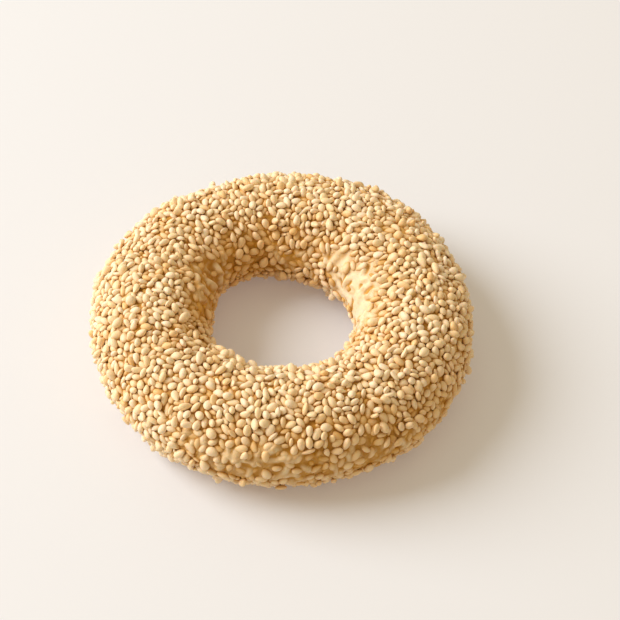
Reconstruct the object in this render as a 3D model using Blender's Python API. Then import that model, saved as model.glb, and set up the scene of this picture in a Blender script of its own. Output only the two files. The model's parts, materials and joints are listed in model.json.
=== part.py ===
"""A sesame bread ring, resting flat on the floor: one baked rope of dough, closed into an uneven ring.

Metres, +Z up. The origin is on the floor, in the middle of the ring's outline. The solid is the
ring out to the tops of its seeds, whose coat is about half a seed thick.
Run with: blender --background --python part.py
"""

from math import asin, cos, pi, sin

import bmesh
import bpy

# Driving dimensions, in metres.
RING_WIDTH = 0.100  # across the outside of the ring
ROPE_WIDTH = 0.0306  # across the rope, seen from above
ROPE_HEIGHT = 0.0252  # the rope's height before its foot went flat on the tray
FOOT_SINK = 0.0011  # how far the tray cuts into that oval rope

# How finely the surface is divided.
STEPS_ROUND = 96  # along the rope
STEPS_ACROSS = 34  # round the rope's section, from one edge of the foot to the other

# Unevenness from rolling and closing the rope by hand. Each row is (turns round the ring, share
# of the size it changes, where its high point lies in radians). Angle 0 is +X, and -Y is the front.
PLAN_WAVES = ((2, 0.003, 2.90), (3, 0.005, 0.00), (4, 0.010, 0.75))
WIDTH_WAVES = ((1, 0.021, 0.10), (2, 0.034, 0.70), (3, 0.030, 0.82), (4, 0.016, 1.20), (5, 0.010, 0.76))
HEIGHT_WAVES = ((1, 0.008, 0.15), (2, 0.010, 0.85), (3, 0.007, 1.10))

# Low lumps on the crust. Each row is (turns round the ring, turns round the rope, height in
# metres, phase in radians).
LUMPS = ((7, 1, 0.00014, 0.4), (10, -2, 0.00010, 2.9), (5, 2, 0.00018, 5.0), (4, -1, 0.00016, 1.1))

# Where the rope's two ends were pressed together: a shallow neck with a swelling beside it.
JOIN_ANGLE = 2.72
JOIN_SPREAD = 0.13  # radians
JOIN_NECK = 0.022  # share of the rope's thickness
JOIN_SWELL = 0.030

CRUST_COLOUR = (0.78, 0.56, 0.30, 1.0)
CRUST_ROUGHNESS = 0.62


def clear_scene():
    for obj in list(bpy.data.objects):
        bpy.data.objects.remove(obj)


def crust_material():
    material = bpy.data.materials.new("sesame_crust")
    material.use_nodes = True
    shader = material.node_tree.nodes["Principled BSDF"]
    shader.inputs["Base Color"].default_value = CRUST_COLOUR
    shader.inputs["Roughness"].default_value = CRUST_ROUGHNESS
    shader.inputs["Metallic"].default_value = 0.0
    return material


def waves(rows, angle):
    """1 plus the sum of the rows' cosines at this angle round the ring."""
    return 1 + sum(share * cos(turns * (angle - peak)) for turns, share, peak in rows)


def join_factor(angle):
    """How the join changes the rope's thickness at this angle: a neck, and a swelling after it."""
    away = (angle - JOIN_ANGLE + pi) % (2 * pi) - pi
    neck = 1 / (1 + (away / JOIN_SPREAD) ** 4)
    beside = 1 / (1 + ((away - 2.2 * JOIN_SPREAD) / JOIN_SPREAD) ** 4)
    return 1 - JOIN_NECK * neck + JOIN_SWELL * beside


def lump_height(angle, turn):
    """The crust's low lumps, fading out on the underside, where the tray flattened them."""
    fade = min(1.0, max(0.0, 0.75 + sin(turn)))
    return fade * sum(
        height * cos(along * angle + round_rope * turn + phase)
        for along, round_rope, height, phase in LUMPS
    )


def section(angle):
    """The rope's outline at one angle: (distance from the ring's axis, height) from the foot's outer
    edge, over the top, to its inner edge."""
    half_width = ROPE_WIDTH / 2 * waves(WIDTH_WAVES, angle) * join_factor(angle)
    half_height = ROPE_HEIGHT / 2 * waves(HEIGHT_WAVES, angle) * join_factor(angle)
    spine = (RING_WIDTH - ROPE_WIDTH) / 2 * waves(PLAN_WAVES, angle)
    middle = half_height - FOOT_SINK
    foot_turn = -asin(middle / half_height)  # where the oval meets the tray
    points = []
    for step in range(STEPS_ACROSS + 1):
        turn = foot_turn + (pi - 2 * foot_turn) * step / STEPS_ACROSS
        lump = lump_height(angle, turn)
        radius = spine + (half_width + lump) * cos(turn)
        height = middle + (half_height + lump) * sin(turn)
        on_foot = step in (0, STEPS_ACROSS)
        points.append((radius, 0.0 if on_foot else max(height, 0.0001)))
    return points


def ring_points():
    """The sections all the way round, shifted so that the outline is centred on the origin."""
    rows = []
    for step in range(STEPS_ROUND):
        angle = 2 * pi * step / STEPS_ROUND
        rows.append([(r * cos(angle), r * sin(angle), z) for r, z in section(angle)])
    xs = [point[0] for row in rows for point in row]
    ys = [point[1] for row in rows for point in row]
    middle_x = (min(xs) + max(xs)) / 2
    middle_y = (min(ys) + max(ys)) / 2
    return [[(x - middle_x, y - middle_y, z) for x, y, z in row] for row in rows]


def make_ring():
    bm = bmesh.new()
    rows = [[bm.verts.new(point) for point in row] for row in ring_points()]
    for step, row in enumerate(rows):
        after = rows[(step + 1) % STEPS_ROUND]
        for k in range(len(row)):
            following = (k + 1) % len(row)  # the last face closes the section along the foot
            bm.faces.new((row[k], after[k], after[following], row[following]))
    bmesh.ops.triangulate(bm, faces=bm.faces[:])
    bmesh.ops.recalc_face_normals(bm, faces=bm.faces[:])
    mesh = bpy.data.meshes.new("bread_ring")
    bm.to_mesh(mesh)
    bm.free()
    mesh.shade_smooth()
    mesh.set_sharp_from_angle(angle=pi / 4)
    ring = bpy.data.objects.new("bread_ring", mesh)
    ring.data.materials.append(crust_material())
    bpy.context.scene.collection.objects.link(ring)
    return ring


clear_scene()
make_ring()
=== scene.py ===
"""Looks of the sesame bread ring: its fine dough, and the separate seeds that lie packed on it.

The frame's solid, bread_ring, reaches out to the tops of the seeds. Its section is measured here, the
dough is modelled a little inside it, and the seeds are settled onto the dough by a small simulation:
each seed is a rigid body of a few spheres, pulled towards the dough and pushed apart.

Metres, +Z up. Round the ring, angle 0 is +X and -Y is the front. Round the rope, turn 0 points away
from the ring's axis, a quarter turn is the top and a half turn faces the hole. Angles are in radians.
"""

import json
import math

import bpy
import numpy as np
from mathutils import Matrix, Vector
from mathutils.bvhtree import BVHTree

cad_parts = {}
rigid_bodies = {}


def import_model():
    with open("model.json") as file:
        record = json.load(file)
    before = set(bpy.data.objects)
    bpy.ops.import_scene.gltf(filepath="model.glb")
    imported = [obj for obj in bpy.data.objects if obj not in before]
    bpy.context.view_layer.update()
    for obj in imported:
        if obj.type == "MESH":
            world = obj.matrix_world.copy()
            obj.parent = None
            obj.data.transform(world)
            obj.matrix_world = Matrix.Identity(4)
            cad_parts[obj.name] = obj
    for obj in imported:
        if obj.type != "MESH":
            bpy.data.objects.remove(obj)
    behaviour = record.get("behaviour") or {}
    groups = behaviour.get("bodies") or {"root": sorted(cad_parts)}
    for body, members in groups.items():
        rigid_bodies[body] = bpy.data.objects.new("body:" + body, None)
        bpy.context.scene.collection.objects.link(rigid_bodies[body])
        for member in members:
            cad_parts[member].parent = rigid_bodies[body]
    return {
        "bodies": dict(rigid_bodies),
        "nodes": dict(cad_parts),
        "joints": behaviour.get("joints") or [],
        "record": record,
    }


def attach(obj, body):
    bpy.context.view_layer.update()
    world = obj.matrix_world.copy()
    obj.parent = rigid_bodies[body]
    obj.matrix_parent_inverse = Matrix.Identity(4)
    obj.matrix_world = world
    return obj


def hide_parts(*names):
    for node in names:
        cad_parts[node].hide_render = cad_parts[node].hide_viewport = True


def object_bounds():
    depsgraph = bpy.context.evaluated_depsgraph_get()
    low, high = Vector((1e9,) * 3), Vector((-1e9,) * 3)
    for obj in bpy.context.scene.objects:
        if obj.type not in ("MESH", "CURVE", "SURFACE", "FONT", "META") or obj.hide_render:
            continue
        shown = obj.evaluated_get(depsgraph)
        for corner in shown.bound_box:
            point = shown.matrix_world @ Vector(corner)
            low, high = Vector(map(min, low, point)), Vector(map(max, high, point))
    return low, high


PI = math.pi
MM = 0.001

# Random numbers: one stream for the coat, and fixed ones for what may not change with it.
RNG = np.random.default_rng(20)
SHAPE_RNG = np.random.default_rng(33)  # the seeds' shapes
DOUGH_RNG_SEED = 5
RAGGED_RNG_SEED = 11  # the ragged edges of the bare patches

# Seeds, in metres: the mean size, and each one's spread as a share of it.
SEED_LENGTH = 3.08 * MM
SEED_LENGTH_SPREAD = 0.11
SEED_WIDTH_SHARE = 0.605  # of its length
SEED_THICKNESS_SHARE = 0.74  # of its width
SEED_SHARE_SPREAD = 0.13
SEED_SIDES = 11
SEED_RINGS = 7
SEED_POINT = (0.05, 0.55)  # from the bluntest to the most pointed
SEED_LUMPS = (0.05, 0.03)  # how far from round, across and along
SEED_BENDS = (0.14, 0.12)  # spread of the bend sideways and of the sag
UNBENT = 0.4  # square of the place along a seed that its bend leaves where it is
CELL_MARGIN = 0.05  # round a seed in its cell of the texture
GAP_SHADE_HEIGHTS = (-0.1 * MM, 1.3 * MM)  # painted shade of the gaps, low on a seed: above the dough, from golden with it to the seed's own colour

# How the seeds are thrown on the dough.
THROWS = 150000
THROW_LOWEST = 0.9 * MM  # none starts lower than this
SEED_SPACING = 1.50 * MM  # between the centres of neighbours in the full coat
THINNEST = 0.06  # the least cover that the spacing follows
THIN_THROWS = 0.15  # least share of the throws that count, where the dough is bare
THROW_LIFT = (0.5 * MM, 1.5 * MM)
EXTRA_SEEDS = 300  # thrown on top of the full coat
EXTRA_SPREAD = (0.02, 0.05)  # their distance from the seeds below, round the ring and the rope
EXTRA_LIFT = 2.0 * MM
SEED_TILT = 0.5  # spread
SEED_ROLL = 0.8  # spread
SEED_SINK = 0.34 * MM  # how deep a seed sits in the dough
SINK_RANGE = (0.5, 1.6)  # shares of that
BARE_SINK = 0.55 * MM  # how much deeper, at most, where the dough is bare
PLANTED_SHARE = 0.10  # of the seeds stand stuck in the dough, in the full coat
BARE_PLANTED_SHARE = 0.30  # and where the dough is bare
PLANTED_TILT = (0.50, 1.25)
PLANTED_HEIGHT = 1.15 * MM  # how much of them shows
PLANTED_RANGE = (0.8, 1.3)  # shares of that

# How they settle: how far each step pulls them, for all the seeds and after each filling of gaps.
PULLS = [0.060 * MM] * 40 + [0.030 * MM] * 40 + [0.010 * MM] * 30 + [0.002 * MM] * 10
GAP_PULLS = [0.030 * MM] * 30 + [0.010 * MM] * 20 + [0.002 * MM] * 30
PUSH = 1.25  # how much of an overlap a step undoes, shared among a seed's contacts
SPIN_ROOM = 0.45  # of a seed's half length: the larger, the less it turns
NEAR_STEPS = 5  # steps between searches for neighbours
NEAR_ROOM = 0.2 * MM
LOOSE_HEIGHT = 1.60 * MM  # a seed whose middle is higher than this above the dough fell off
PROUD = 0.70 * MM  # how far a seed's oval may reach out of the solid's box while the coat settles
LAST_PROUD = 0.58 * MM  # and at the end, with room for the seeds' bends
TUCK = 0.80 * MM  # a seed that reaches further out by less than this is pushed in, others fell off

# Gaps in the full coat get one more seed each.
GAP_ROUNDS = 2
GAP_TRIES = 30000
GAP_COVER = 0.8  # the least cover that counts as the full coat
GAP_LOWEST = 1.5 * MM
GAP_REACH = 1.40 * MM  # a gap is a place with no seed's centre this near
GAP_LIFT = 0.4 * MM

# Seeds pressed under the ring, between two distances from its axis.
FOOT_REACH = (0.0285, 0.0412)
FOOT_TRIES = 6000
FOOT_SPACING = 2.35 * MM
FOOT_THICKNESS_SHARE = 0.52

# The spheres that stand for a seed while it settles: (along its length, across it, radius), as shares
# of its half length less its half thickness, its half width less its half thickness, and its half
# thickness. The tip is at +1.
SEED_SPHERES = (
    (-1.0, 0.0, 1.0),
    (-0.3, 1.0, 1.0),
    (-0.3, -1.0, 1.0),
    (0.5, 0.0, 0.95),
    (1.25, 0.0, 0.6),
)

# The seeds' four pieces: (name, the share of the coat's seeds up to and with it, the palest and the
# deepest colour in it, how rare the deep ones are).
SEED_KINDS = (
    ("sesame_pale", 0.275, (0.93, 0.77, 0.56), (0.92, 0.75, 0.52), 1),
    ("sesame_light", 0.55, (0.92, 0.75, 0.52), (0.91, 0.72, 0.46), 1),
    ("sesame_golden", 0.825, (0.91, 0.73, 0.48), (0.90, 0.68, 0.40), 1),
    ("sesame_toasted", 1.0, (0.90, 0.69, 0.42), (0.84, 0.55, 0.24), 2),
)
FOOT_KIND = "sesame_toasted"  # the seeds under the ring are in this piece
FOOT_TOAST = (0.3, 1.0)

# Where the coat is thin. Each row is (angle round the ring, half its width, turn round the rope, half
# its width, how bare it is). A patch's edge runs between two distances from its middle, which ragged
# noise shifts.
BARE_PATCHES = (
    (0.38, 0.82, 2.90, 0.68, 0.90),
    (1.80, 0.75, 3.12, 0.46, 0.58),
    (2.80, 0.64, 2.84, 0.54, 0.80),
    (-1.50, 0.76, 0.12, 0.52, 0.50),
    (-0.62, 0.42, -0.12, 0.40, 0.45),
)
PATCH_EDGE = (0.55, 1.15)
RAGGED_SHIFT = 0.18
RAGGED_SIZE = 6.0 * MM
RAGGED_WAVES = 24

# Marks in the bare dough: folds and half-sunk seeds stand up, and slits where seeds fell out go in.
# Each row is (its bare patch, how many, heading, spread of the heading, half length, half width,
# height). Heading 0 runs along the rope and a quarter turn across it.
DOUGH_MARKS = (
    (0, 11, 1.5, 0.30, 3.60 * MM, 0.80 * MM, 0.50 * MM),
    (0, 22, 1.3, 0.50, 1.40 * MM, 0.66 * MM, 0.60 * MM),
    (0, 30, 1.3, 0.40, 1.60 * MM, 0.40 * MM, -0.60 * MM),
    (1, 8, 1.4, 0.50, 3.00 * MM, 0.80 * MM, 0.50 * MM),
    (1, 18, 1.0, 0.90, 1.40 * MM, 0.66 * MM, 0.60 * MM),
    (1, 12, 1.4, 0.60, 1.40 * MM, 0.38 * MM, -0.60 * MM),
    (2, 12, 1.5, 0.30, 3.80 * MM, 0.70 * MM, 1.10 * MM),
    (2, 18, 1.2, 0.60, 1.45 * MM, 0.68 * MM, 0.75 * MM),
    (2, 14, 1.4, 0.40, 1.70 * MM, 0.42 * MM, -0.80 * MM),
    (3, 9, 2.0, 0.40, 3.20 * MM, 0.80 * MM, 0.80 * MM),
    (3, 5, 0.0, 0.20, 4.60 * MM, 0.90 * MM, 0.70 * MM),
    (3, 44, 1.6, 0.80, 1.45 * MM, 0.74 * MM, 0.75 * MM),
    (3, 18, 1.6, 0.60, 1.40 * MM, 0.44 * MM, -0.60 * MM),
    (4, 4, 2.3, 0.50, 3.00 * MM, 0.80 * MM, 0.60 * MM),
    (4, 16, 1.6, 0.90, 1.45 * MM, 0.74 * MM, 0.65 * MM),
    (4, 8, 1.6, 0.60, 1.40 * MM, 0.44 * MM, -0.50 * MM),
)

# Painted shade: the ring is coloured browner where shade falls, inside it at its back and left and at
# its front. Each row is (angle, half its width, turn, half its width, how brown it is).
SHADED_PLACES = (
    (2.45, 1.30, 3.14, 0.88, 1.00),
    (-0.95, 1.05, 0.00, 0.85, 0.68),
)

# Beside the bare inside of the ring, the seeds were combed across the rope: (angle, half its width,
# turn, half its width).
COMBED_PATCH = (0.45, 0.75, 2.30, 0.55)
COMBED_SPREAD = 0.45

# The marks: shares of their patch that they lie in, and how they differ from one another.
MARKED_ROUND = 0.95
MARKED_ACROSS = 0.90
MARK_RANGE = (0.7, 1.3)  # shares of the length, width and height
MARK_BEND = 0.10  # spread, in half lengths
MARK_REACH = 2.2  # half lengths out to where a mark is worked out
MARK_COVER = (0.02, 0.40)  # how bare the dough is, from no marks to full ones

COAT_DEPTH = 0.98 * MM  # from the seeds' tops to the dough under the full coat
BARE_DEPTH = 0.25 * MM  # from the CAD solid to the dough where it is bare
FOOT_LIFT = 0.30 * MM  # the dough's foot stands on the seeds pressed into it

# The dough's waves: (height, size, how many are added up). The last ones are under its foot.
DOUGH_WAVES = ((0.10 * MM, 5.5 * MM, 30), (0.05 * MM, 2.2 * MM, 30))
FOOT_WAVES = (0.04 * MM, 3.0 * MM, 20)

# The dough rises beside a seed whose middle is lower than this above it.
RIM_SEED_HEIGHT = 1.0 * MM
RIM_REACH = 2.6 * MM
RIM_PLACE = 0.8  # where the rim lies: 0 is the seed's middle and 1 its outline
RIM_HEIGHT = 0.24 * MM
RIM_WIDTH = 0.42 * MM
RIM_ROWS = 13  # rows of the dough's mesh on each side that it can reach

# How the dough's colour follows its shape, as painted shade under the coat, in hollows, in slits and
# beside seeds, and painted light on raised marks: where each effect begins and where it is full.
GAP_SHADE_COVER = (0.30, 1.0)
HOLLOW_SHADE_DEPTHS = (0.0, 0.30 * MM)
HOLLOW_ROUNDS = 12  # of softening, for the level that hollows are measured from
RAISED_LIGHT_HEIGHTS = (0.15 * MM, 0.60 * MM)
SLIT_SHADE_DEPTHS = (0.05 * MM, 0.40 * MM)
FOOT_HEIGHTS = (3.5 * MM, 0.3 * MM)
RIM_FULL = 0.25 * MM

# How much painted shade these lay on it; the raised marks' negative share is painted light.
RIM_SHADE = 0.50
SHADED_PLACE_DARKER = 0.74
HOLLOW_SHADE = 0.70
RAISED_PAINTED_LIGHT = -0.42

DOUGH_STEPS_ROUND = 560
DOUGH_STEPS_ACROSS = 176

# Where the dough's mesh is finer, because it shows. Each row is (centre, half width, how much finer).
FINE_ROUND = ((-1.55, 0.85, 1.8), (0.50, 0.60, 0.3))
FINE_ACROSS = ((2.95, 0.62, 2.2), (0.05, 0.62, 1.7))


# ---------------------------------------------------------------- the ring, measured from the frame

RAYS_ROUND = 192
RAYS_ACROSS = 96
TABLE_ROUND = 1152
TABLE_ACROSS = 576
RAY_REACH = 0.2  # how far out the rays start that come from outside
KEEP_ROUND = 26  # waves round the ring that the section keeps
KEEP_ACROSS = 14  # and round the rope
KEEP_SPINE = 14  # and that the spine keeps
COVER_KEEP = (60, 30)  # the same for the depth of the coat


def turned_from(angle, centre):
    """angle less centre, from half a turn back to half a turn on."""
    return (angle - centre + PI) % (2 * PI) - PI


def blur_rounds(values, keep_round, keep_across=None):
    """values round the ring (and round the rope), without the CAD mesh's facets."""
    spectrum = np.fft.fft(values, axis=0)
    turns = np.abs(np.fft.fftfreq(values.shape[0], 1 / values.shape[0]))
    fade = np.exp(-((turns / keep_round) ** 2))
    spectrum *= fade.reshape((-1,) + (1,) * (values.ndim - 1))
    result = np.fft.ifft(spectrum, axis=0).real
    if keep_across is None:
        return result
    return blur_rounds(result.T, keep_across).T


def finer(values, size, axis):
    """values on more steps round one axis, along the same smooth curve."""
    spectrum = np.fft.rfft(values, axis=axis)
    count = values.shape[axis]
    return np.fft.irfft(spectrum, n=size, axis=axis) * (size / count)


class Ring:
    """The ring's spine and section, as tables round the ring and round the rope."""

    def __init__(self, node, low, high):
        vertices = [vertex.co for vertex in node.data.vertices]
        faces = [tuple(face.vertices) for face in node.data.polygons]
        tree = BVHTree.FromPolygons(vertices, faces)
        waist = (low.z + high.z) / 2
        spine = np.zeros(RAYS_ROUND)
        middle = np.zeros(RAYS_ROUND)
        radius = np.zeros((RAYS_ROUND, RAYS_ACROSS))
        up = Vector((0, 0, 1))
        for step in range(RAYS_ROUND):
            angle = 2 * PI * step / RAYS_ROUND
            out = Vector((math.cos(angle), math.sin(angle), 0))
            hole = tree.ray_cast(up * waist, out)[3]
            rim = RAY_REACH - tree.ray_cast(up * waist + out * RAY_REACH, -out)[3]
            spine[step] = (hole + rim) / 2
            top = RAY_REACH - tree.ray_cast(out * spine[step] + up * RAY_REACH, -up)[3]
            middle[step] = top / 2
        spine = blur_rounds(spine, KEEP_SPINE)
        middle = blur_rounds(middle, KEEP_SPINE)
        for step in range(RAYS_ROUND):
            angle = 2 * PI * step / RAYS_ROUND
            out = Vector((math.cos(angle), math.sin(angle), 0))
            centre = out * spine[step] + up * middle[step]
            for turn_step in range(RAYS_ACROSS):
                turn = 2 * PI * turn_step / RAYS_ACROSS
                way = out * math.cos(turn) + up * math.sin(turn)
                radius[step, turn_step] = tree.ray_cast(centre, way)[3]
        radius = blur_rounds(radius, KEEP_ROUND, KEEP_ACROSS)
        self.spine = finer(spine, TABLE_ROUND, 0)
        self.middle = finer(middle, TABLE_ROUND, 0)
        self.radius = finer(finer(radius, TABLE_ROUND, 0), TABLE_ACROSS, 1)

    def at(self, table, angle, turn=None):
        """A table's value at these angles, between its steps."""
        u = (angle / (2 * PI) % 1) * TABLE_ROUND
        u0 = np.floor(u).astype(int)
        fu = u - u0
        u0 %= TABLE_ROUND
        u1 = (u0 + 1) % TABLE_ROUND
        if turn is None:
            return table[u0] * (1 - fu) + table[u1] * fu
        v = (turn / (2 * PI) % 1) * TABLE_ACROSS
        v0 = np.floor(v).astype(int)
        fv = v - v0
        v0 %= TABLE_ACROSS
        v1 = (v0 + 1) % TABLE_ACROSS
        first = table[u0, v0] * (1 - fv) + table[u0, v1] * fv
        second = table[u1, v0] * (1 - fv) + table[u1, v1] * fv
        return first * (1 - fu) + second * fu

    def add_dough(self, depth):
        """Keeps the dough's radius, which is depth inside the solid, its normals and how far they lean."""
        self.dough = self.radius - depth
        angle = 2 * PI * np.arange(TABLE_ROUND)[:, None] / TABLE_ROUND
        turn = 2 * PI * np.arange(TABLE_ACROSS)[None, :] / TABLE_ACROSS
        points = self.place(self.dough, angle, turn)
        along = np.roll(points, -1, 0) - np.roll(points, 1, 0)
        across = np.roll(points, -1, 1) - np.roll(points, 1, 1)
        normal = np.cross(along, across)
        normal /= np.linalg.norm(normal, axis=2)[..., None]
        out = np.stack([np.cos(angle), np.sin(angle), 0 * angle], 2)
        ways = out * np.cos(turn)[..., None] + np.array([0, 0, 1.0]) * np.sin(turn)[..., None]
        self.lean = (normal * ways).sum(2)
        self.normal = normal

    def place(self, radius, angle, turn):
        """Points at this radius from the spine."""
        if radius.shape == self.radius.shape:
            spine = self.spine[:, None]
            middle = self.middle[:, None]
        else:
            spine = self.at(self.spine, angle)
            middle = self.at(self.middle, angle)
        reach = spine + radius * np.cos(turn)
        height = middle + radius * np.sin(turn)
        return np.stack([reach * np.cos(angle), reach * np.sin(angle), height], -1)

    def angles(self, points):
        """(angle round the ring, turn round the rope, distance from the spine) of points."""
        angle = np.arctan2(points[:, 1], points[:, 0])
        out = np.hypot(points[:, 0], points[:, 1]) - self.at(self.spine, angle)
        height = points[:, 2] - self.at(self.middle, angle)
        return angle, np.arctan2(height, out), np.hypot(out, height)

    def above(self, points):
        """How far points are above the dough, and the dough's normals under them."""
        angle, turn, distance = self.angles(points)
        height = (distance - self.at(self.dough, angle, turn)) * self.at(self.lean, angle, turn)
        normal = np.stack([self.at(self.normal[..., k], angle, turn) for k in range(3)], 1)
        return height, normal


def waves(points, size, count, rng):
    """Smooth noise of mean 0 and spread about 1, with bumps of about this size."""
    ways = rng.normal(size=(count, 3))
    ways /= np.linalg.norm(ways, axis=1)[:, None]
    pitch = 2 * PI / (size * rng.uniform(0.7, 1.5, count))
    phase = rng.uniform(0, 2 * PI, count)
    total = np.zeros(points.shape[:-1])
    for k in range(count):
        total += np.cos(points @ (ways[k] * pitch[k]) + phase[k])
    return total * math.sqrt(2 / count)


def smooth_step(values, low, high):
    """0 at low and before it, 1 at high and after it, and smooth between. low may be the larger."""
    share = np.clip((values - low) / (high - low), 0, 1)
    return share * share * (3 - 2 * share)


def coat_cover(angle, turn, ragged):
    """How full the coat of seeds is, from 0 to 1. ragged is noise that breaks up the patches' edges."""
    cover = np.ones(np.broadcast(angle, turn).shape)
    for centre, half_width, centre_turn, half_turn, strength in BARE_PATCHES:
        away = turned_from(angle, centre) / half_width
        across = turned_from(turn, centre_turn) / half_turn
        distance = np.sqrt(away**2 + across**2) + RAGGED_SHIFT * ragged
        cover *= 1 - strength * (1 - smooth_step(distance, *PATCH_EDGE))
    return cover


def cover_at(angle, turn, points):
    """How full the coat is at these places."""
    ragged = waves(points, RAGGED_SIZE, RAGGED_WAVES, np.random.default_rng(RAGGED_RNG_SEED))
    return coat_cover(angle, turn, ragged)


def painted_shade_at(angle, turn):
    """How much painted shade the ring gets here, as a browner colour, from 0 to 1."""
    shade_share = np.zeros(np.broadcast(angle, turn).shape)
    for middle, reach_round, middle_turn, reach_across, strength in SHADED_PLACES:
        away = turned_from(angle, middle) / reach_round
        across = turned_from(turn, middle_turn) / reach_across
        shade_share += strength * np.exp(-(away**4) - across**4)
    return shade_share


# ---------------------------------------------------------------- the seeds

CELLS_AROUND = [(i, j, k) for i in (-1, 0, 1) for j in (-1, 0, 1) for k in (-1, 0, 1)]


def throw_seeds(ring):
    """Where seeds first touch the dough: points spread at random, closer where the coat is full."""
    cell = SEED_SPACING
    grid = {}
    angles = []
    turns = []
    largest = float(ring.spine.max() + ring.radius.max())
    tries = RNG.uniform(size=(THROWS, 4))
    angle = tries[:, 0] * 2 * PI
    turn = tries[:, 1] * 2 * PI
    radius = ring.at(ring.dough, angle, turn)
    points = ring.place(radius, angle, turn)
    out = ring.at(ring.spine, angle) + radius * np.cos(turn)
    kept = (tries[:, 2] < out / largest) & (points[:, 2] > THROW_LOWEST)
    cover = cover_at(angle, turn, points)
    spacing = SEED_SPACING / np.sqrt(np.clip(cover, THINNEST, 1))
    kept &= tries[:, 3] < np.clip(cover * 3, THIN_THROWS, 1)
    for n in np.flatnonzero(kept):
        x, y, z = (float(c) for c in points[n])
        home = (int(x // cell), int(y // cell), int(z // cell))
        gap = float(spacing[n])
        reach = int(gap // cell) + 1
        clear = True
        if reach == 1:
            near = CELLS_AROUND
        else:
            span = range(-reach, reach + 1)
            near = [(i, j, k) for i in span for j in span for k in span]
        for i, j, k in near:
            for qx, qy, qz in grid.get((home[0] + i, home[1] + j, home[2] + k), ()):
                if (qx - x) ** 2 + (qy - y) ** 2 + (qz - z) ** 2 < gap * gap:
                    clear = False
                    break
            if not clear:
                break
        if clear:
            grid.setdefault(home, []).append((x, y, z))
            angles.append(float(angle[n]))
            turns.append(float(turn[n]))
    return np.array(angles), np.array(turns)


def unit(vectors):
    """vectors, each made 1 long."""
    return vectors / np.linalg.norm(vectors, axis=-1, keepdims=True)


def frames_on(normal, heading, tilt, roll):
    """Rotation matrices (columns: length, width, thickness) of seeds on these normals."""
    guide = np.where(np.abs(normal[:, 2:3]) < 0.9, [[0, 0, 1.0]], [[1.0, 0, 0]])
    side = unit(np.cross(normal, guide))
    ahead = np.cross(side, normal)
    length = side * np.cos(heading)[:, None] + ahead * np.sin(heading)[:, None]
    width = np.cross(normal, length)
    tipped = length * np.cos(tilt)[:, None] + normal * np.sin(tilt)[:, None]
    face = np.cross(tipped, width)
    wide = width * np.cos(roll)[:, None] + face * np.sin(roll)[:, None]
    return np.stack([tipped, wide, np.cross(tipped, wide)], 2)


def near_pairs(points, reach, owner):
    """Pairs of points of different owners that are closer than reach."""
    cells = np.floor(points / reach).astype(np.int64)
    cells -= cells.min(0) - 1
    size = cells.max(0) + 2
    key = (cells[:, 0] * size[1] + cells[:, 1]) * size[2] + cells[:, 2]
    order = np.argsort(key, kind="stable")
    sorted_key = key[order]
    firsts = []
    seconds = []
    everyone = np.arange(len(points))
    for i, j, k in CELLS_AROUND:
        if (i, j, k) < (0, 0, 0):
            continue
        wanted = key + (i * size[1] + j) * size[2] + k
        start = np.searchsorted(sorted_key, wanted, "left")
        count = np.searchsorted(sorted_key, wanted, "right") - start
        first = np.repeat(everyone, count)
        into = np.arange(len(first)) - np.repeat(np.cumsum(count) - count, count)
        second = order[np.repeat(start, count) + into]
        if (i, j, k) == (0, 0, 0):
            once = first < second
            first = first[once]
            second = second[once]
        firsts.append(first)
        seconds.append(second)
    first = np.concatenate(firsts)
    second = np.concatenate(seconds)
    apart = ((points[first] - points[second]) ** 2).sum(1)
    close = (apart < reach * reach) & (owner[first] != owner[second])
    return first[close], second[close]


def sphere_layout(half):
    """Where each seed's spheres lie in its own frame, and their radii."""
    shape = np.array(SEED_SPHERES)
    room = half[:, :2] - half[:, 2:3]
    offsets = np.zeros((len(half), len(shape), 3))
    offsets[..., 0] = room[:, 0:1] * shape[None, :, 0]
    offsets[..., 1] = room[:, 1:2] * shape[None, :, 1]
    radii = half[:, 2:3] * shape[None, :, 2]
    return offsets, radii


def varied(mean, share, count):
    """Sizes about a mean, which spread by this share of it."""
    return mean * (1 + share * np.clip(RNG.normal(size=count), -2, 2))


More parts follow.
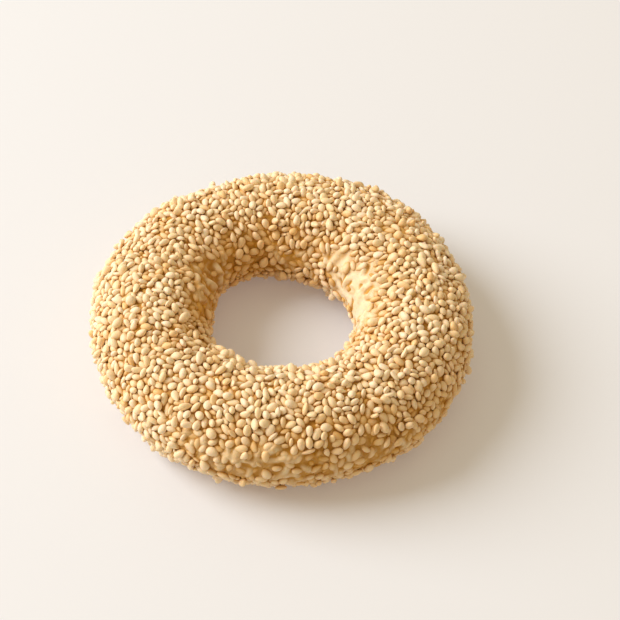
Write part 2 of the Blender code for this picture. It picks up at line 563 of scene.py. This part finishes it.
def settle(ring, seeds, pulls):
    """Pulls the seeds down onto the dough and each other, as rigid bodies that don't overlap.

    pulls holds how far each step pulls them. Planted seeds are stuck in the dough as they fell, so
    they don't turn.
    """
    centre, frame, half, sink, planted = seeds
    offsets, radii = sphere_layout(half)
    count, spheres = radii.shape
    owner = np.repeat(np.arange(count), spheres)
    radius = radii.ravel()
    sinks = np.repeat(sink, spheres)
    spin_room = (half[:, 0] * SPIN_ROOM) ** 2
    reach = 2 * float(radius.max()) + NEAR_ROOM
    for step, pull in enumerate(pulls):
        arms = np.einsum("nij,nmj->nmi", frame, offsets)
        points = (centre[:, None] + arms).reshape(-1, 3)
        if step % NEAR_STEPS == 0:
            first, second = near_pairs(points, reach, owner)
        gap = points[first] - points[second]
        distance = np.sqrt((gap**2).sum(1)) + 1e-9
        depth = radius[first] + radius[second] - distance
        hit = depth > 0
        one = first[hit]
        two = second[hit]
        push = gap[hit] * (0.5 * depth[hit] / distance[hit])[:, None]
        total = np.zeros_like(points)
        for k in range(3):
            total[:, k] = np.bincount(one, push[:, k], len(points))
            total[:, k] -= np.bincount(two, push[:, k], len(points))
        touches = np.bincount(one, minlength=len(points)) + np.bincount(two, minlength=len(points))
        touches = touches.astype(float)
        height, normal = ring.above(points)
        below = radius - sinks - height
        pressed = below > 0
        total += normal * np.where(pressed, below, 0)[:, None]
        touches += pressed
        low = radius - points[:, 2]
        grounded = low > 0
        total[:, 2] += np.where(grounded, low, 0)
        touches += grounded
        force = total.reshape(count, spheres, 3)
        contacts = touches.reshape(count, spheres).sum(1)
        shared = np.maximum(contacts, 1)[:, None]
        move = PUSH * force.sum(1) / shared
        arm_room = (arms**2).sum(2).mean(1) + spin_room
        turn = PUSH * np.cross(arms, force).sum(1) / (shared * arm_room[:, None])
        turn[planted] = 0
        under = ring.above(centre)[1]
        centre = centre + move - under * pull
        frame = frame + np.cross(turn[:, None, :], frame.transpose(0, 2, 1)).transpose(0, 2, 1)
        length = unit(frame[:, :, 0])
        width = frame[:, :, 1]
        width = unit(width - length * (length * width).sum(1)[:, None])
        frame = np.stack([length, width, np.cross(length, width)], 2)
        centre = np.round(centre, 8)
    return centre, frame, half, sink, planted


def new_seeds(ring, angle, turn, lift):
    """Seeds over these places: centres, frames, half sizes, how deep each is sunk, which are planted."""
    count = len(angle)
    length = varied(SEED_LENGTH, SEED_LENGTH_SPREAD, count)
    width = varied(length * SEED_WIDTH_SHARE, SEED_SHARE_SPREAD, count)
    thick = varied(width * SEED_THICKNESS_SHARE, SEED_SHARE_SPREAD, count)
    half = np.stack([length, width, thick], 1) / 2
    surface = ring.place(ring.at(ring.dough, angle, turn), angle, turn)
    normal = ring.above(surface)[1]
    centre = surface + unit(normal) * lift[:, None]
    tilt = RNG.normal(0, SEED_TILT, count)
    roll = RNG.normal(0, SEED_ROLL, count)
    heading = RNG.uniform(0, 2 * PI, count)
    combed = PI / 2 + RNG.normal(0, COMBED_SPREAD, count) + PI * RNG.integers(0, 2, count)
    middle, reach_round, middle_turn, reach_across = COMBED_PATCH
    away = turned_from(angle, middle) / reach_round
    across = (turn - middle_turn) / reach_across
    heading = np.where(away**2 + across**2 < 1, combed, heading)
    frame = frames_on(unit(normal), heading, tilt, roll)
    bare = 1 - cover_at(angle, turn, surface)
    sink = SEED_SINK * RNG.uniform(*SINK_RANGE, count) + BARE_SINK * bare * RNG.uniform(0, 1, count)
    planted = RNG.uniform(size=count) < PLANTED_SHARE + (BARE_PLANTED_SHARE - PLANTED_SHARE) * bare
    steep = RNG.uniform(*PLANTED_TILT, count)
    frame[planted] = frames_on(unit(normal), heading, -steep, roll)[planted]
    tall = 2 * (half[:, 0] * np.sin(steep) + half[:, 2] * np.cos(steep))
    sink[planted] = (tall - PLANTED_HEIGHT * RNG.uniform(*PLANTED_RANGE, count))[planted]
    return centre, frame, half, sink, planted


def find_gaps(ring, centre):
    """Places in the full coat that no seed's centre is near."""
    tries = RNG.uniform(0, 2 * PI, size=(GAP_TRIES, 2))
    angle = tries[:, 0]
    turn = tries[:, 1]
    points = ring.place(ring.at(ring.dough, angle, turn), angle, turn)
    coated = (cover_at(angle, turn, points) > GAP_COVER) & (points[:, 2] > GAP_LOWEST)
    angle = angle[coated]
    turn = turn[coated]
    points = points[coated]
    count = len(points)
    everyone = np.concatenate([points, centre])
    first, second = near_pairs(everyone, GAP_REACH, np.arange(len(everyone)))
    crowded = np.zeros(len(everyone), bool)
    crowded[first[second >= count]] = True
    crowded[second[first >= count]] = True
    chosen = []
    for n in np.flatnonzero(~crowded[:count]):
        if all(((points[n] - points[m]) ** 2).sum() > GAP_REACH**2 for m in chosen):
            chosen.append(n)
    return angle[chosen], turn[chosen]


def still_on(ring, seeds, low, high, proud=PROUD):
    """The seeds that don't lie too high on the others, tucked in where they reach out of the box."""
    centre, frame, half, sink, planted = seeds
    reach = np.sqrt(((frame * half[:, None, :]) ** 2).sum(2))
    above = np.maximum(centre + reach - np.array(high) - proud, 0)
    below = np.maximum(np.array(low) - proud - centre + reach, 0)
    kept = (ring.above(centre)[0] < LOOSE_HEIGHT) & ((above + below).max(1) < TUCK)
    centre = centre - above + below
    return tuple(values[kept] for values in (centre, frame, half, sink, planted))


def make_seeds(ring, low, high):
    """Every seed of the coat: centres, frames and half sizes."""
    angle, turn = throw_seeds(ring)
    extra = RNG.choice(len(angle), EXTRA_SEEDS, replace=False)
    angle = np.concatenate([angle, angle[extra] + RNG.normal(0, EXTRA_SPREAD[0], EXTRA_SEEDS)])
    turn = np.concatenate([turn, turn[extra] + RNG.normal(0, EXTRA_SPREAD[1], EXTRA_SEEDS)])
    lift = RNG.uniform(*THROW_LIFT, len(angle))
    lift[-EXTRA_SEEDS:] += EXTRA_LIFT
    seeds = new_seeds(ring, angle, turn, lift)
    seeds = still_on(ring, settle(ring, seeds, PULLS), low, high)
    for _ in range(GAP_ROUNDS):
        angle, turn = find_gaps(ring, seeds[0])
        more = new_seeds(ring, angle, turn, np.full(len(angle), GAP_LIFT))
        seeds = tuple(np.concatenate(pair) for pair in zip(seeds, more))
        seeds = still_on(ring, settle(ring, seeds, GAP_PULLS), low, high)
    return still_on(ring, seeds, low, high, LAST_PROUD)[:3]


def foot_seeds():
    """Seeds pressed flat under the ring, standing on the floor."""
    near, far = FOOT_REACH
    centres = []
    tries = RNG.uniform(size=(FOOT_TRIES, 3))  # the third number of each isn't used
    for share, angle_share, _ in tries:
        reach = math.sqrt(near**2 + share * (far**2 - near**2))
        angle = angle_share * 2 * PI
        point = (reach * math.cos(angle), reach * math.sin(angle))
        if all((point[0] - x) ** 2 + (point[1] - y) ** 2 > FOOT_SPACING**2 for x, y in centres):
            centres.append(point)
    count = len(centres)
    length = varied(SEED_LENGTH, SEED_LENGTH_SPREAD, count)
    width = length * SEED_WIDTH_SHARE
    half = np.stack([length, width, width * FOOT_THICKNESS_SHARE], 1) / 2
    centre = np.column_stack([np.array(centres), half[:, 2]])
    down = np.tile([0.0, 0.0, -1.0], (count, 1))
    frame = frames_on(down, RNG.uniform(0, 2 * PI, count), np.zeros(count), np.zeros(count))
    return centre, frame, half


def seed_pattern():
    """One seed's surface: points as (angle from the tip, angle round it), faces, and each face
    corner's place in the seed's cell of the texture."""
    points = []
    for ring_step in range(1, SEED_RINGS):
        polar = PI * ring_step / SEED_RINGS
        for side in range(SEED_SIDES):
            points.append((polar, 2 * PI * side / SEED_SIDES))
    points.append((0.0, 0.0))
    points.append((PI, 0.0))
    tip = len(points) - 2
    end = len(points) - 1
    faces = []
    corners = []
    for side in range(SEED_SIDES):
        after = (side + 1) % SEED_SIDES
        left = side / SEED_SIDES
        right = (side + 1) / SEED_SIDES
        first = 1 / SEED_RINGS
        last = 1 - first
        faces.append((tip, side, after))
        corners.append((((left + right) / 2, 0.0), (left, first), (right, first)))
        base = (SEED_RINGS - 2) * SEED_SIDES
        faces.append((end, base + after, base + side))
        corners.append((((left + right) / 2, 1.0), (right, last), (left, last)))
        for row in range(SEED_RINGS - 2):
            a = row * SEED_SIDES + side
            b = row * SEED_SIDES + after
            c = b + SEED_SIDES
            d = a + SEED_SIDES
            up = (row + 1) / SEED_RINGS
            down = (row + 2) / SEED_RINGS
            faces.append((a, d, c))
            corners.append(((left, up), (left, down), (right, down)))
            faces.append((a, c, b))
            corners.append(((left, up), (right, down), (right, up)))
    return np.array(points), np.array(faces), np.array(corners)


def seed_shapes(count, pattern, rng):
    """Unit seeds, each a little different: (count, points, 3), within about -1 to 1."""
    polar = pattern[None, :, 0]
    side = pattern[None, :, 1]
    point = rng.uniform(*SEED_POINT, (count, 1))
    around = np.sin(polar) * np.sin(np.clip(polar / 2, 1e-3, None)) ** point
    along = np.linspace(0, PI, 200)[None]
    fattest = np.sin(along) * np.sin(along / 2) ** point
    around = around / fattest.max(1)[:, None]
    x = np.cos(polar) + 0 * around
    turned = 2 * side + rng.uniform(0, 6, (count, 1))
    lump = 1 + SEED_LUMPS[0] * np.cos(turned) * rng.uniform(0, 1, (count, 1))
    lump += SEED_LUMPS[1] * np.cos(3 * polar + rng.uniform(0, 6, (count, 1)))
    y = around * np.cos(side) * lump
    z = around * np.sin(side) * lump
    bend = rng.normal(0, SEED_BENDS[0], (count, 1))
    sag = rng.normal(0, SEED_BENDS[1], (count, 1))
    y = y + bend * (x**2 - UNBENT)
    z = z + sag * (x**2 - UNBENT)
    return np.stack([x, y, z], 2)


def mesh_piece(name, points, faces, uv, attribute_name, data, material):
    """One piece from its points, faces, texture corners and the numbers that its material reads."""
    mesh = bpy.data.meshes.new(name)
    mesh.vertices.add(points.size // 3)
    mesh.vertices.foreach_set("co", points.astype(np.float32).ravel())
    mesh.loops.add(faces.size)
    mesh.loops.foreach_set("vertex_index", faces.astype(np.int32).ravel())
    mesh.polygons.add(len(faces))
    starts = np.arange(0, faces.size, faces.shape[1], dtype=np.int32)
    mesh.polygons.foreach_set("loop_start", starts)
    mesh.update(calc_edges=True)
    mesh.shade_smooth()
    layer = mesh.uv_layers.new(name="OFBake")
    layer.data.foreach_set("uv", uv.astype(np.float32).ravel())
    attribute = mesh.attributes.new(attribute_name, "FLOAT_COLOR", "POINT")
    attribute.data.foreach_set("color", data.ravel())
    mesh.materials.append(material)
    piece = bpy.data.objects.new(name, mesh)
    bpy.context.scene.collection.objects.link(piece)
    return piece


def seed_piece(ring, name, seeds, toast, material):
    """One mesh of many seeds, with their colours and a square cell of the texture space for each."""
    centre, frame, half = seeds
    pattern, faces, corners = seed_pattern()
    count = len(centre)
    unit_points = seed_shapes(count, pattern, SHAPE_RNG)
    points = np.einsum("nij,nmj->nmi", frame, unit_points * half[:, None, :]) + centre[:, None]
    points[..., 2] = np.maximum(points[..., 2], 0.0)
    per_seed = len(pattern)
    all_faces = (faces[None] + per_seed * np.arange(count)[:, None, None]).reshape(-1, 3)
    cells = math.ceil(math.sqrt(count))
    across = np.arange(count) % cells
    down = np.arange(count) // cells
    inside = CELL_MARGIN + (1 - 2 * CELL_MARGIN) * corners[None]
    uv = (inside + np.stack([across, down], 1)[:, None, None, :]) / cells
    data = np.ones((count, per_seed, 4), np.float32)
    data[..., 0] = toast[:, None]
    data[..., 1] = np.clip(np.cos(pattern[None, :, 0]) * 0.5 + 0.5, 0, 1)
    angle, turn, _ = ring.angles(centre)
    # how much painted shade the seed gets, from the shaded places of the ring
    data[..., 2] = painted_shade_at(angle, turn)[:, None]
    height = ring.above(points.reshape(-1, 3))[0].reshape(count, per_seed)
    # painted shade low on the seed, darkest next to the dough
    data[..., 3] = smooth_step(height, *GAP_SHADE_HEIGHTS)
    return mesh_piece(name, points, all_faces, uv, "seed_data", data, material)


# ---------------------------------------------------------------- the dough

def uneven_steps(count, start, finer_rows):
    """Angles all the way round from start, closer together where finer_rows says."""
    samples = 4000  # steps in which the density is added up
    angle = start + 2 * PI * np.arange(samples + 1) / samples
    density = np.ones(samples + 1)
    for centre, half_width, more in finer_rows:
        away = turned_from(angle, centre) / half_width
        density += more * np.exp(-(away**2))
    share = np.concatenate([[0], np.cumsum((density[1:] + density[:-1]) / 2)])
    return np.interp(np.arange(count) / count, share / share[-1], angle)


def softened(values, rounds):
    """values spread over their neighbours, again and again."""
    for _ in range(rounds):
        for axis in (0, 1):
            values = (np.roll(values, 1, axis) + 2 * values + np.roll(values, -1, axis)) / 4
    return values


def dough_marks(ring, base, rng):
    """How far the bare dough's folds, half-sunk seeds and slits stand up from it."""
    total = np.zeros(base.shape[:2])
    for patch, count, heading, spread_of_heading, half_length, half_width, height in DOUGH_MARKS:
        middle, reach_round, middle_turn, reach_across, _ = BARE_PATCHES[patch]
        angle = middle + reach_round * rng.uniform(-MARKED_ROUND, MARKED_ROUND, count)
        turn = middle_turn + reach_across * rng.uniform(-MARKED_ACROSS, MARKED_ACROSS, count)
        centre = ring.place(ring.at(ring.dough, angle, turn), angle, turn)
        normal = unit(ring.above(centre)[1])
        way = heading + spread_of_heading * rng.normal(size=count)
        frame = frames_on(normal, way, np.zeros(count), np.zeros(count))
        size = rng.uniform(*MARK_RANGE, (count, 3))
        bend = rng.normal(0, MARK_BEND, count) / half_length
        marks = np.zeros(base.shape[:2])
        for n in range(count):
            away = base - centre[n]
            reach = MARK_REACH * max(half_length, half_width)
            i, j = np.nonzero((away**2).sum(2) < reach * reach)
            local = away[i, j] @ frame[n]
            along = local[:, 0] / (half_length * size[n, 0])
            across = (local[:, 1] - bend[n] * local[:, 0] ** 2) / (half_width * size[n, 1])
            mark = size[n, 2] * np.exp(-(along**4) - np.abs(across) ** 2.5)
            marks[i, j] = np.maximum(marks[i, j], mark)
        total += height * marks
    return total


def dough_piece(ring, seeds, material):
    """The dough's skin, all the way round and under, with its creases and the rims round its seeds."""
    angle = uneven_steps(DOUGH_STEPS_ROUND, 0.0, FINE_ROUND)
    turn = uneven_steps(DOUGH_STEPS_ACROSS, -PI / 2, FINE_ACROSS)
    angle = np.repeat(angle[:, None], DOUGH_STEPS_ACROSS, 1)
    turn = np.repeat(turn[None, :], DOUGH_STEPS_ROUND, 0)
    radius = ring.at(ring.dough, angle, turn)
    base = ring.place(radius, angle, turn)
    normal = np.stack([ring.at(ring.normal[..., k], angle, turn) for k in range(3)], -1)
    cover = cover_at(angle, turn, base)
    rng = np.random.default_rng(DOUGH_RNG_SEED)
    relief = sum(high * waves(base, size, count, rng) for high, size, count in DOUGH_WAVES)
    marks = dough_marks(ring, base, rng) * smooth_step(1 - cover, *MARK_COVER)
    rise = seed_rims(ring, base, angle, seeds)
    level = softened(relief + marks + rise, 1)
    # painted shade: how far the dough lies below its softened level
    hollow_shade_mask = smooth_step(softened(level, HOLLOW_ROUNDS) - level, *HOLLOW_SHADE_DEPTHS)
    points = base + normal * level[..., None]
    foot_high, foot_size, foot_count = FOOT_WAVES
    flat_foot = FOOT_LIFT + foot_high * waves(base, foot_size, foot_count, rng)
    points[..., 2] = np.maximum(points[..., 2], flat_foot)
    across = DOUGH_STEPS_ACROSS
    row = np.arange(DOUGH_STEPS_ROUND)[:, None]
    column = np.arange(across)[None, :]
    after_row = (row + 1) % DOUGH_STEPS_ROUND
    after_column = (column + 1) % across
    a = row * across + column
    b = after_row * across + column
    c = after_row * across + after_column
    d = row * across + after_column
    quads = np.stack([a, b, c, d], -1).reshape(-1, 4)
    left = row / DOUGH_STEPS_ROUND + 0 * column
    right = (row + 1) / DOUGH_STEPS_ROUND + 0 * column
    low = column / across + 0 * row
    high = (column + 1) / across + 0 * row
    uv = np.stack([left, low, right, low, right, high, left, high], -1)
    data = np.ones((DOUGH_STEPS_ROUND, across, 4), np.float32)
    # Painted shade beside seeds, in hollows and on the shaded places, and painted light on raised marks.
    painted_shading = RIM_SHADE * rise / RIM_FULL + SHADED_PLACE_DARKER * painted_shade_at(angle, turn)
    painted_shading = painted_shading + HOLLOW_SHADE * hollow_shade_mask + RAISED_PAINTED_LIGHT * smooth_step(marks, *RAISED_LIGHT_HEIGHTS)
    # painted shade of the dough under the full coat, between the seeds
    data[..., 0] = smooth_step(cover, *GAP_SHADE_COVER)
    data[..., 1] = np.clip(painted_shading, 0, 1)
    data[..., 2] = smooth_step(points[..., 2], *FOOT_HEIGHTS)
    # painted shade in the slits, deepest where they go furthest in
    data[..., 3] = smooth_step(-marks, *SLIT_SHADE_DEPTHS)
    return mesh_piece("dough", points, quads, uv, "dough_data", data, material)


def seed_rims(ring, base, row_angle, seeds):
    """How far the dough rises beside each seed that touches it."""
    centre, frame, half = seeds
    height = ring.above(centre)[0]
    rise = np.zeros(base.shape[:2])
    rows = base.shape[0]
    angle = np.arctan2(centre[:, 1], centre[:, 0]) % (2 * PI)
    home_row = np.searchsorted(row_angle[:, 0] % (2 * PI), angle)
    for n in np.flatnonzero(height < RIM_SEED_HEIGHT):
        near_rows = np.arange(home_row[n] - RIM_ROWS, home_row[n] + RIM_ROWS + 1) % rows
        away = base[near_rows] - centre[n]
        i, j = np.nonzero((away**2).sum(2) < RIM_REACH**2)
        local = away[i, j] @ frame[n]
        edge = np.sqrt((local[:, 0] / half[n, 0]) ** 2 + (local[:, 1] / half[n, 1]) ** 2)
        outside = np.abs(edge - RIM_PLACE) * half[n, 1]
        up = RIM_HEIGHT * np.exp(-((outside / RIM_WIDTH) ** 2))
        at = (near_rows[i], j)
        rise[at] = np.maximum(rise[at], up)
    return rise


# ---------------------------------------------------------------- materials

# Colours that are laid over a piece's own, as the light reflects them.
# painted shade: seeds on the shaded places of the ring are mixed towards this
SEED_PAINTED_SHADE = (0.72, 0.42, 0.13)
SEED_MOTTLE = (0.74, 0.48, 0.20)
SEED_TIP = (0.46, 0.22, 0.07)
SEED_GAP_SHADE = (0.58, 0.27, 0.0)  # painted shade low on the seeds, in the gaps next to the dough
DOUGH_CREAM = (0.90, 0.75, 0.51)
DOUGH_TAN = (0.83, 0.65, 0.39)
DOUGH_GAP_SHADE = (0.48, 0.24, 0.04)  # painted shade of the dough under the full coat, seen in the gaps between seeds
DOUGH_PAINTED_SHADE = (0.52, 0.25, 0.03)  # painted shade in hollows, beside seeds and on the shaded places of the ring
# painted shade in the slits
DOUGH_SLIT_SHADE = (0.62, 0.32, 0.06)
DOUGH_SPECK = (0.50, 0.26, 0.09)
DOUGH_FOOT = (0.42, 0.21, 0.07)
FLOOR_COLOUR = (0.663, 0.709, 0.759, 1.0)
# painted light: the floor's glow, which lifts its shadows
FLOOR_PAINTED_LIGHT = (1.0, 0.75, 0.70, 1.0)

NOISE_ROUGHNESS = 0.55


class Painter:
    """A new material: its shader, and the nodes that work out its colours from noise and numbers."""

    def __init__(self, name):
        self.material = bpy.data.materials.new(name)
        self.material.use_nodes = True
        self.nodes = self.material.node_tree.nodes
        self.links = self.material.node_tree.links
        self.shader = self.nodes["Principled BSDF"]

    def set(self, name, value):
        self.shader.inputs[name].default_value = value

    def feed(self, name, output):
        self.links.new(output, self.shader.inputs[name])

    def numbers(self, attribute_name):
        """The four numbers that a mesh keeps in an attribute."""
        attribute = self.nodes.new("ShaderNodeAttribute")
        attribute.attribute_name = attribute_name
        split = self.nodes.new("ShaderNodeSeparateXYZ")
        self.links.new(attribute.outputs["Vector"], split.inputs[0])
        return split.outputs[0], split.outputs[1], split.outputs[2], attribute.outputs["Alpha"]

    def noise(self, scale, detail=3.0):
        place = self.nodes.new("ShaderNodeTexCoord").outputs["Object"]
        made = self.nodes.new("ShaderNodeTexNoise")
        made.inputs["Scale"].default_value = scale
        made.inputs["Detail"].default_value = detail
        made.inputs["Roughness"].default_value = NOISE_ROUGHNESS
        self.links.new(place, made.inputs["Vector"])
        return made.outputs["Fac"]

    def spread(self, value, low, high, to_low=0.0, to_high=1.0):
        """A value from low to high, as one from to_low to to_high."""
        made = self.nodes.new("ShaderNodeMapRange")
        names = ("From Min", "From Max", "To Min", "To Max")
        for name, number in zip(names, (low, high, to_low, to_high)):
            made.inputs[name].default_value = number
        self.links.new(value, made.inputs["Value"])
        return made.outputs["Result"]

    def mixed(self, share, first, second):
        """A colour between two: each is a colour or another node's output."""
        made = self.nodes.new("ShaderNodeMix")
        made.data_type = "RGBA"
        for socket, value in ((made.inputs[6], first), (made.inputs[7], second)):
            if isinstance(value, tuple):
                socket.default_value = (*value, 1.0)
            else:
                self.links.new(value, socket)
        self.links.new(share, made.inputs[0])
        return made.outputs[2]

    def bump(self, heights):
        """Adds relief to the shader: each row is (height output, depth in metres)."""
        normal = None
        for height, depth in heights:
            made = self.nodes.new("ShaderNodeBump")
            made.inputs["Distance"].default_value = depth
            self.links.new(height, made.inputs["Height"])
            if normal is not None:
                self.links.new(normal, made.inputs["Normal"])
            normal = made.outputs["Normal"]
        self.feed("Normal", normal)

    def soft_inside(self, weight, scale):
        """Light that spreads under the surface, reddest furthest."""
        self.set("Subsurface Weight", weight)
        self.set("Subsurface Radius", (1.0, 0.72, 0.34))
        self.set("Subsurface Scale", scale)


def seed_material(name, pale, deep):
    paint = Painter(name)
    toast, tip, shade_share, height = paint.numbers("seed_data")
    colour = paint.mixed(toast, pale, deep)
    # painted shade on the seeds at the shaded places of the ring
    colour = paint.mixed(paint.spread(shade_share, 0.0, 1.0, 0.0, 0.62), colour, SEED_PAINTED_SHADE)
    mottle = paint.spread(paint.noise(900.0), 0.40, 0.80, 0.0, 0.22)
    colour = paint.mixed(mottle, colour, SEED_MOTTLE)
    colour = paint.mixed(paint.spread(tip, 0.93, 1.0, 0.0, 0.45), colour, SEED_TIP)
    # painted shade low on the seeds, in the gaps next to the dough
    colour = paint.mixed(paint.spread(height, 0.0, 0.95, 1.0, 0.0), colour, SEED_GAP_SHADE)
    paint.feed("Base Color", colour)
    paint.feed("Roughness", paint.spread(paint.noise(2200.0), 0.3, 0.7, 0.36, 0.52))
    paint.set("Specular IOR Level", 0.28)
    paint.soft_inside(0.30, 0.5 * MM)
    paint.bump([(paint.noise(1500.0, 4.0), 0.05 * MM)])
    return paint.material


def dough_material():
    paint = Painter("dough")
    cover, painted_shading, foot, slit_shade = paint.numbers("dough_data")
    broad = paint.spread(paint.noise(130.0, 2.0), 0.3, 0.7)
    bare = paint.mixed(broad, DOUGH_CREAM, DOUGH_TAN)
    # painted shade under the full coat, seen between the seeds
    colour = paint.mixed(cover, bare, DOUGH_GAP_SHADE)
    # painted shade in hollows, beside seeds and on the shaded places, and painted light on raised marks
    colour = paint.mixed(paint.spread(painted_shading, 0.1, 1.0), colour, DOUGH_PAINTED_SHADE)
    # painted shade in the slits
    colour = paint.mixed(slit_shade, colour, DOUGH_SLIT_SHADE)
    specks = paint.spread(paint.noise(1400.0, 4.0), 0.58, 0.72, 0.0, 0.35)
    colour = paint.mixed(specks, colour, DOUGH_SPECK)
    colour = paint.mixed(foot, colour, DOUGH_FOOT)
    paint.feed("Base Color", colour)
    paint.feed("Roughness", paint.spread(paint.noise(700.0), 0.3, 0.7, 0.42, 0.62))
    paint.set("Specular IOR Level", 0.25)
    paint.soft_inside(0.35, 0.6 * MM)
    paint.bump([(paint.noise(420.0), 0.25 * MM), (paint.noise(1800.0, 4.0), 0.06 * MM)])
    return paint.material


def floor_material():
    paint = Painter("floor")
    paint.set("Base Color", FLOOR_COLOUR)
    # painted light: the floor glows a little, which lightens its shadows and the ring's underside
    paint.set("Emission Color", FLOOR_PAINTED_LIGHT)
    paint.set("Emission Strength", 0.14)
    paint.set("Roughness", 0.45)
    paint.set("Specular IOR Level", 0.3)
    return paint.material


# ---------------------------------------------------------------- floor, light and camera

FLOOR_SIZE = 6.0
FLOOR_DROP = 0.0001  # below the foot, so that the two don't fight
WORLD_COLOUR = (1.0, 0.835, 0.55, 1.0)
WORLD_STRENGTH = 0.56
KEY_PLACE = (-1.52, 0.28, 1.07)  # to the left of the ring, and high
KEY_TARGET = (0, 0, 0.01)
KEY_SIZE = 1.40
KEY_POWER = 43.0
KEY_COLOUR = (1.0, 0.98, 1.0)


def make_floor():
    bpy.ops.mesh.primitive_plane_add(size=FLOOR_SIZE, location=(0, 0, -FLOOR_DROP))
    floor = bpy.context.object
    floor.name = "floor"
    floor.data.materials.append(floor_material())


def make_light():
    scene = bpy.context.scene
    world = bpy.data.worlds.new("world")
    world.use_nodes = True
    background = world.node_tree.nodes["Background"]
    background.inputs["Color"].default_value = WORLD_COLOUR
    background.inputs["Strength"].default_value = WORLD_STRENGTH
    scene.world = world
    light = bpy.data.lights.new("key", "AREA")
    light.shape = "DISK"
    light.size = KEY_SIZE
    light.energy = KEY_POWER
    light.color = KEY_COLOUR
    lamp = bpy.data.objects.new("key", light)
    lamp.location = KEY_PLACE
    way = Vector(KEY_TARGET) - Vector(KEY_PLACE)
    lamp.rotation_euler = way.to_track_quat("-Z", "Y").to_euler()
    scene.collection.objects.link(lamp)
    scene.view_settings.view_transform = "Standard"
    scene.view_settings.look = "None"


CAMERA_FOV = math.radians(20.0)
CAMERA_ELEVATION = math.radians(50.0)
CAMERA_ROLL = math.radians(3.43)
CAMERA_DISTANCE = 0.4624  # along the view
CAMERA_SIDE = -0.00747  # where the ring's middle lies right of the picture's middle
CAMERA_DROP = 0.00279  # and below it
CAMERA_AIM_HEIGHT = 0.012


def make_camera():
    data = bpy.data.cameras.new("camera")
    data.sensor_fit = "HORIZONTAL"
    data.sensor_width = 36.0
    data.lens = data.sensor_width / 2 / math.tan(CAMERA_FOV / 2)
    data.clip_start = 0.01
    data.clip_end = 20
    ahead = Vector((0, math.cos(CAMERA_ELEVATION), -math.sin(CAMERA_ELEVATION)))
    level = Vector((1, 0, 0))
    lift = Vector((0, math.sin(CAMERA_ELEVATION), math.cos(CAMERA_ELEVATION)))
    right = level * math.cos(CAMERA_ROLL) + lift * math.sin(CAMERA_ROLL)
    above = lift * math.cos(CAMERA_ROLL) - level * math.sin(CAMERA_ROLL)
    aim = Vector((0, 0, CAMERA_AIM_HEIGHT))
    place = aim - (right * CAMERA_SIDE - above * CAMERA_DROP + ahead * CAMERA_DISTANCE)
    turn = Matrix((right, above, -ahead)).transposed()
    camera = bpy.data.objects.new("camera", data)
    camera.matrix_world = Matrix.Translation(place) @ turn.to_4x4()
    bpy.context.scene.collection.objects.link(camera)
    bpy.context.scene.camera = camera


# ---------------------------------------------------------------- everything together

def measured_ring(node, low, high):
    """The ring's tables, with the dough's depth under the coat."""
    ring = Ring(node, low, high)
    angle = 2 * PI * np.arange(TABLE_ROUND)[:, None] / TABLE_ROUND
    turn = 2 * PI * np.arange(TABLE_ACROSS)[None, :] / TABLE_ACROSS
    cover = cover_at(angle, turn, ring.place(ring.radius, angle, turn))
    ring.add_dough(blur_rounds(BARE_DEPTH + (COAT_DEPTH - BARE_DEPTH) * cover, *COVER_KEEP))
    return ring


def make_seed_pieces(ring, coat, foot):
    """The seeds of the coat and the foot, dealt out to their pieces."""
    edges = [row[1] for row in SEED_KINDS[:-1]]
    kind = np.searchsorted(edges, RNG.uniform(size=len(coat[0])))
    for number, (name, _, pale, deep, rarity) in enumerate(SEED_KINDS):
        mine = kind == number
        seeds = tuple(values[mine] for values in coat)
        toast = RNG.uniform(size=mine.sum()) ** rarity
        if name == FOOT_KIND:
            seeds = tuple(np.concatenate(pair) for pair in zip(seeds, foot))
            toast = np.concatenate([toast, RNG.uniform(*FOOT_TOAST, len(foot[0]))])
        piece = seed_piece(ring, name, seeds, toast, seed_material(name, pale, deep))
        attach(piece, "root")


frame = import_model()
cad_low, cad_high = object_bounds()

ring = measured_ring(frame["nodes"]["bread_ring"], cad_low, cad_high)
coat = make_seeds(ring, cad_low, cad_high)
make_seed_pieces(ring, coat, foot_seeds())

dough = dough_piece(ring, coat, dough_material())
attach(dough, "root")
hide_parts("bread_ring")

make_floor()
make_light()
make_camera()
